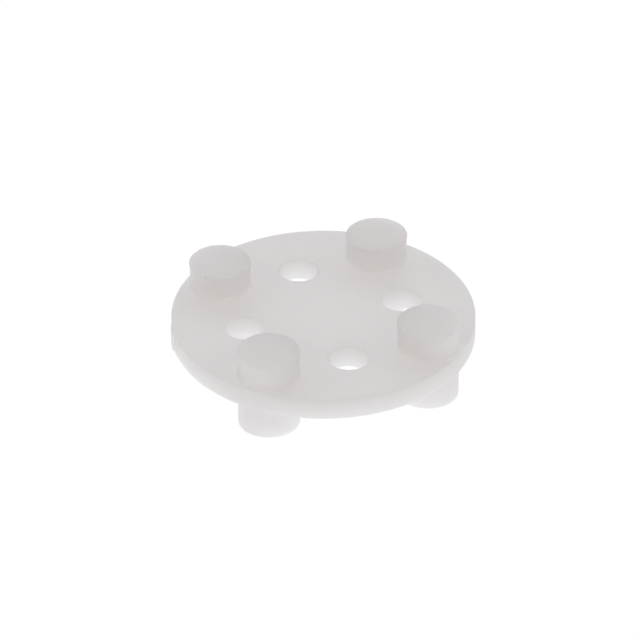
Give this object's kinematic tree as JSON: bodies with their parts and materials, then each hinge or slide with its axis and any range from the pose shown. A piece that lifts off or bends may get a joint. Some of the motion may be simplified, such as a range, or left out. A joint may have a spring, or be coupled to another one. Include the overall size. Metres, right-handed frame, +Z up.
{
  "type": "transistor mounting pad",
  "caption": "Round moulded pad with posts above, feet below and rounded lead holes, which holds a can transistor clear of its circuit board.",
  "frame": {"origin": "centre of the plane under the feet, where the pad stands on the board", "axes": "+Z up from the board towards the transistor; the lead holes lie on the X and Y axes, and the posts and feet on the diagonals; the gate scar is on the rim towards -X"},
  "size_m": [0.0094, 0.0094, 0.0026],
  "materials": {
    "natural_nylon": "natural uncoloured nylon as moulded, milky and slightly translucent, with a fine matt skin"
  },
  "bodies": {
    "root": {"mounting_pad": "natural_nylon"}
  },
  "joints": []
}
